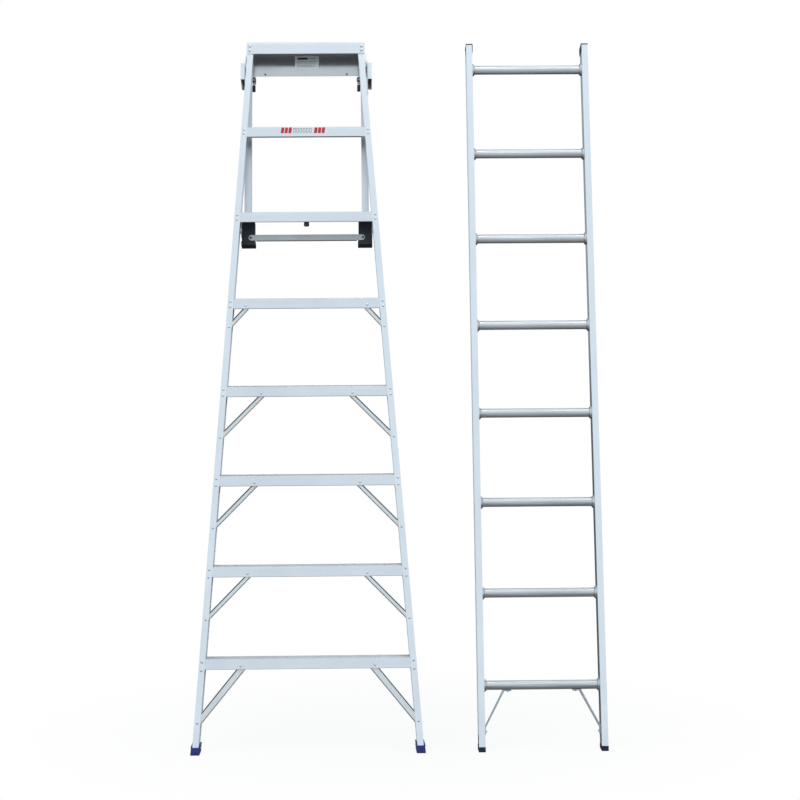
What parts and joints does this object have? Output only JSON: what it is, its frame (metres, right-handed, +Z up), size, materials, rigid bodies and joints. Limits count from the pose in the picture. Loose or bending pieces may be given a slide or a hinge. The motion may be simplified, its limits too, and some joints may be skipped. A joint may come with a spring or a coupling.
{
  "type": "dual-purpose ladder",
  "caption": "Aluminium ladder in two sections: a tapered step section with a hinged rear frame, and a straight section with round rungs.",
  "frame": {"origin": "on the floor, under the middle of the whole object's bounding box", "axes": "+Z up, +X to the right across both sections, +Y back from the treads' front edges, the way the ladder leans"},
  "size_m": [1.3438, 0.7796, 2.3332],
  "materials": {
    "rail": "satin mill-finish extrusion with fine lengthwise lines",
    "tread": "satin extrusion, ribbed on top",
    "cap": "satin sheet",
    "brace": "satin roll-formed strip",
    "rear": "satin extrusion, slightly greyer",
    "rung": "brushed tube with fine grip lines",
    "foot": "moulded navy blue",
    "black": "moulded black",
    "lock": "zinc-plated, dull",
    "zinc": "zinc-plated, bright"
  },
  "bodies": {
    "step_section": {"stile_left": "rail", "stile_right": "rail", "foot_left": "foot", "foot_right": "foot", "top_cap": "cap", "bumper": "black", "hinge_plate_left": "rail", "hinge_plate_right": "rail", "hinge_bolt_left": "zinc", "hinge_bolt_right": "zinc", "tread_2": "tread", "tread_3": "tread", "tread_4": "tread", "tread_5": "tread", "tread_6": "tread", "tread_7": "tread", "tread_8": "tread", "knee_brace_4_left": "brace", "knee_brace_4_right": "brace", "knee_brace_5_left": "brace", "knee_brace_5_right": "brace", "knee_brace_6_left": "brace", "knee_brace_6_right": "brace", "knee_brace_7_left": "brace", "knee_brace_7_right": "brace", "knee_brace_8_left": "brace", "knee_brace_8_right": "brace"},
    "rear_frame": {"head_plate": "rear", "cross_bar": "rear", "rear_rail_left": "rear", "rear_rail_right": "rear", "lower_shoe_left": "black", "lower_shoe_right": "black", "lower_guide_left": "rail", "lower_guide_right": "rail", "upper_guide_left": "rail", "upper_guide_right": "rail", "guide_liner_left": "black", "guide_liner_right": "black", "lock_pin_left": "zinc", "lock_pin_right": "zinc"},
    "rung_lock_left": {"rung_lock_left": "lock"},
    "rung_lock_right": {"rung_lock_right": "lock"},
    "straight_section": {"rail_left": "rail", "rail_right": "rail", "rail_cap_left": "black", "rail_cap_right": "black", "rail_foot_left": "black", "rail_foot_right": "black", "strut_left": "zinc", "strut_right": "zinc", "rung_1": "rung", "rung_2": "rung", "rung_3": "rung", "rung_4": "rung", "rung_5": "rung", "rung_6": "rung", "rung_7": "rung", "rung_8": "rung"}
  },
  "joints": [
    {"name": "rear_frame_hinge", "type": "hinge", "parent": "step_section", "child": "rear_frame", "pos_m": [-0.29435, 0.2961, 2.25692], "axis": [1, 0, 0], "range_deg": [0, 33.6]},
    {"name": "extension_slide", "type": "slide", "parent": "rear_frame", "child": "straight_section", "axis": [0, 0.2504, 0.9681], "range_m": [0, 1.5]},
    {"name": "rung_lock_left_pivot", "type": "hinge", "parent": "rear_frame", "child": "rung_lock_left", "pos_m": [-0.46985, 0.28433, 2.21142], "axis": [-1, 0, 0], "range_deg": [0, 40]},
    {"name": "rung_lock_right_pivot", "type": "hinge", "parent": "rear_frame", "child": "rung_lock_right", "pos_m": [-0.11885, 0.28433, 2.21142], "axis": [-1, 0, 0], "range_deg": [0, 40]}
  ]
}
